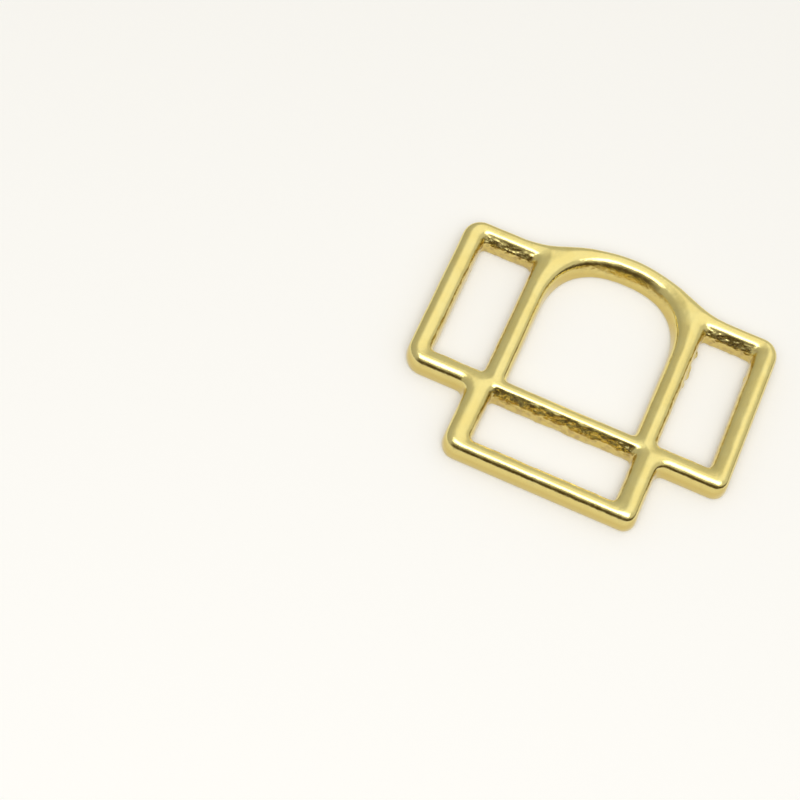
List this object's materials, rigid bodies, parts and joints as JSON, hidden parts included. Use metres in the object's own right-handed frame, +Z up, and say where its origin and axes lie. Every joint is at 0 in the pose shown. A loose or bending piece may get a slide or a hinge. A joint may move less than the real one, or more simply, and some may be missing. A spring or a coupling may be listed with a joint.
{
  "type": "three-slot strap slider",
  "caption": "Flat cast brass strap slider: a D-shaped opening under an arched bar, an upright strap slot at each side and a wide slot below.",
  "frame": {"origin": "middle of the underside's bounding box, on the surface that the slider lies on", "axes": "+X along the long side, +Y from the lower slot towards the arch, +Z up out of the upper face"},
  "size_m": [0.066, 0.053, 0.0046],
  "materials": {
    "cast_brass": "polished faces, as-cast slot walls"
  },
  "bodies": {
    "root": {"slider_casting": "cast_brass"}
  },
  "joints": []
}
